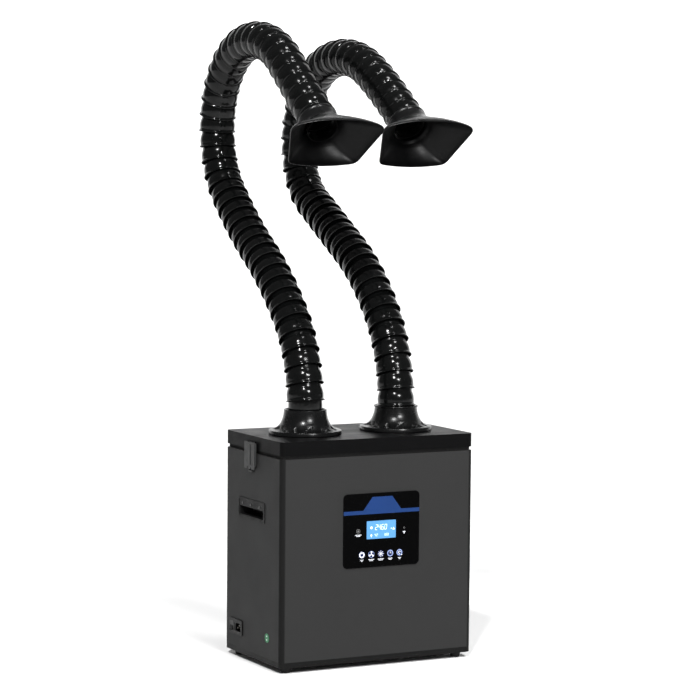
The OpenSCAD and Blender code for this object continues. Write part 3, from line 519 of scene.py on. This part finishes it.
# generic rows of marks in place of the small captions
def caption(name, cx, cz, widths, h=1.15, gap=0.6, rows=2, mat="print_white"):
    shapes = []
    for r in range(rows):
        z1 = cz - r * (h + 1.1)
        ws = widths if r == 0 else widths[1:] or widths
        tot = sum(ws) + gap * (len(ws) - 1); x = cx - tot / 2
        for w in ws:
            shapes.append(rect(x, x + w, z1 - h, z1)); x += w + gap
    joined(name, shapes, M[mat], "cabinet", h=0.0001)
caption("mark_0", KX[0], KZ - 9.6, [2.6, 3.4], rows=2)
caption("mark_1", KX[1], KZ - 9.6, [4.4, 3.0, 4.2])
caption("mark_2", KX[2], KZ - 9.6, [3.4, 4.4, 4.0])
caption("mark_3", KX[3], KZ - 9.6, [3.0, 2.2, 3.2])
caption("mark_4", KX[4], KZ - 9.6, [2.6, 3.6])
caption("mark_sensor", -46.5, 267.2, [4.6, 3.2, 5.0])
caption("mark_lamp", 57.0, 268.5, [2.4, 2.6], h=1.5)
# sensor window, small lamp, screen
joined("sensor_ring", arc_band(-46.4, 274.3, 3.3, 4.3, 0, 360, 36), M["print_grey"], "cabinet")
joined("sensor_lens", [disc(-46.4, 274.3, 2.0, 24)], M["print_grey"], "cabinet")
joined("lamp_ring", arc_band(57.0, 275.6, 1.2, 1.9, 0, 360, 24), M["print_grey"], "cabinet")
# digits on the screen: slanted seven-segment figures
SEG = {"0": "abcdef", "1": "bc", "2": "abged", "3": "abgcd", "4": "fgbc", "5": "afgcd", "6": "afgedc", "7": "abc", "8": "abcdefg", "9": "abcfgd"}
def digit(ch, x, z, w, h, t):
    s = []
    def B(x0, z0, x1, z1): s.append(rect(x0, x1, z0, z1))
    for g in SEG[ch]:
        if g == "a": B(x + t * .6, z + h - t, x + w - t * .6, z + h)
        if g == "d": B(x + t * .6, z, x + w - t * .6, z + t)
        if g == "g": B(x + t * .6, z + h / 2 - t / 2, x + w - t * .6, z + h / 2 + t / 2)
        if g == "f": B(x, z + h / 2 + t * .3, x + t, z + h - t * .5)
        if g == "b": B(x + w - t, z + h / 2 + t * .3, x + w, z + h - t * .5)
        if g == "e": B(x, z + t * .5, x + t, z + h / 2 - t * .3)
        if g == "c": B(x + w - t, z + t * .5, x + w, z + h / 2 - t * .3)
    lean = 0.12
    return [[(px + (pz - z) * lean, pz) for px, pz in q] for q in s]
LY = -HY - 0.0017
shapes = []
for i, ch in enumerate("2460"):
    shapes += digit(ch, -8.6 + i * 6.9, 274.6, 5.2, 10.8, 0.85)
for i, ch in enumerate("42"):
    shapes += digit(ch, -10.0 + i * 4.4, 262.0, 3.0, 5.0, 0.5)
for i, ch in enumerate("180"):
    shapes += digit(ch, 10.0 + i * 4.4, 262.0, 3.0, 5.0, 0.5)
shapes += [disc(-16.8, 279.5, 2.6, 24), disc(-16.8, 264.4, 1.9, 20), rect(-17.5, -16.1, 260.8, 263), [(30.5, 273.5), (36.0, 273.5), (33.4, 278.6)]]
shapes += [rect(27.0, 29.0, 275.4, 277.0)]
joined("screen_figures", shapes, M["lcd_ink"], "cabinet", h=0.00012, y=LY)

# rocker's white mark
def side_shape(name, shapes, mat, body, x, h=0.00015):
    vs, fs = [], []
    for pts in shapes:
        n = len(pts)
        v = [Vector((x, y * MM, z * MM)) for y, z in pts] + [Vector((x - h, y * MM, z * MM)) for y, z in pts]
        f = [tuple(range(n)), tuple(range(2 * n - 1, n - 1, -1))] + [(i, (i + 1) % n, n + (i + 1) % n, n + i) for i in range(n)]
        add(vs, fs, v, f)
    me = bpy.data.meshes.new(name); me.from_pydata([tuple(v) for v in vs], [], fs); me.validate()
    bm = bmesh.new(); bm.from_mesh(me); bmesh.ops.recalc_face_normals(bm, faces=bm.faces); bm.to_mesh(me); bm.free()
    o = bpy.data.objects.new(name, me); bpy.context.scene.collection.objects.link(o); me.materials.append(mat)
    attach(o, body)
    return o
side_shape("label_marks", [disc(-68, 67.0, 1.5, 20), disc(-68, 60.0, 1.5, 20)], M["print_white"], "cabinet", -HX - 0.00036)

# ------------------------------------------------------------------ studio
def plane(name, size, loc, rot=(0, 0, 0), col=(0.9, 0.9, 0.9), rough=0.6):
    me = bpy.data.meshes.new(name)
    sx, sy = size
    me.from_pydata([(-sx / 2, -sy / 2, 0), (sx / 2, -sy / 2, 0), (sx / 2, sy / 2, 0), (-sx / 2, sy / 2, 0)], [], [(0, 1, 2, 3)])
    o = bpy.data.objects.new(name, me); bpy.context.scene.collection.objects.link(o)
    o.location = loc; o.rotation_euler = rot
    mt = bpy.data.materials.new(name); mt.use_nodes = True
    b = mt.node_tree.nodes["Principled BSDF"]
    b.inputs["Base Color"].default_value = (*col, 1); b.inputs["Roughness"].default_value = rough; b.inputs["Specular IOR Level"].default_value = 0.1
    me.materials.append(mt)
    return o
# one pale sweep: floor, a wide curve and a wall, square to the camera's direction
sweep = [(-16.0, 0.0), (11.0, 0.0)] + [(11.0 + 4.0 * math.sin(math.radians(t)), 4.0 - 4.0 * math.cos(math.radians(t))) for t in range(3, 91, 3)] + [(15.0, 14.0)]
sv = []
for d_, z_ in sweep:
    for w_ in (-18.0, 18.0):
        sv.append((fwd.x * d_ / math.hypot(fwd.x, fwd.y) + rt.x * w_, fwd.y * d_ / math.hypot(fwd.x, fwd.y) + rt.y * w_, z_))
sf = [(2 * i, 2 * i + 1, 2 * i + 3, 2 * i + 2) for i in range(len(sweep) - 1)]
me = bpy.data.meshes.new("sweep"); me.from_pydata(sv, [], sf)
me.polygons.foreach_set("use_smooth", [True] * len(me.polygons))
so = bpy.data.objects.new("sweep", me); bpy.context.scene.collection.objects.link(so)
mt = bpy.data.materials.new("sweep"); mt.use_nodes = True
sb = mt.node_tree.nodes["Principled BSDF"]
sb.inputs["Base Color"].default_value = (0.93, 0.93, 0.93, 1); sb.inputs["Roughness"].default_value = 0.9; sb.inputs["Specular IOR Level"].default_value = 0.0
me.materials.append(mt)

def area(name, loc, target, size, power, col=(1, 1, 1), size_y=None):
    d = bpy.data.lights.new(name, "AREA"); d.energy = power; d.color = col
    d.shape = "RECTANGLE"; d.size = size; d.size_y = size_y or size
    o = bpy.data.objects.new(name, d); bpy.context.scene.collection.objects.link(o)
    o.location = loc
    o.rotation_euler = (Vector(target) - Vector(loc)).to_track_quat("-Z", "Y").to_euler()
    return o
def sun(name, frm, strength, angle):
    d = bpy.data.lights.new(name, "SUN"); d.energy = strength; d.angle = math.radians(angle)
    o = bpy.data.objects.new(name, d); bpy.context.scene.collection.objects.link(o)
    o.rotation_euler = (-Vector(frm)).to_track_quat("-Z", "Y").to_euler()
    return o
w = bpy.data.worlds.new("studio"); bpy.context.scene.world = w; w.use_nodes = True
w.node_tree.nodes["Background"].inputs["Color"].default_value = (1, 1, 1, 1)
w.node_tree.nodes["Background"].inputs["Strength"].default_value = 0.20
sun("key", (-0.8, -1.0, 1.25), 2.9, 5)
sun("top", (0.15, -0.35, 1.0), 1.1, 9)
# a tight cluster of small lamps gives the hose its groups of bright points
for i, (dx, dz) in enumerate(((0, 0), (0.22, 0.14), (-0.20, 0.16), (0.08, -0.2), (0.3, -0.1))):
    area(f"lamp_{i}", (-0.3 + dx * 1.4, -3.6, 2.5 + dz * 1.6), (0, 0, 0.9), 0.07, 26)
bpy.context.scene.view_settings.view_transform = "Standard"
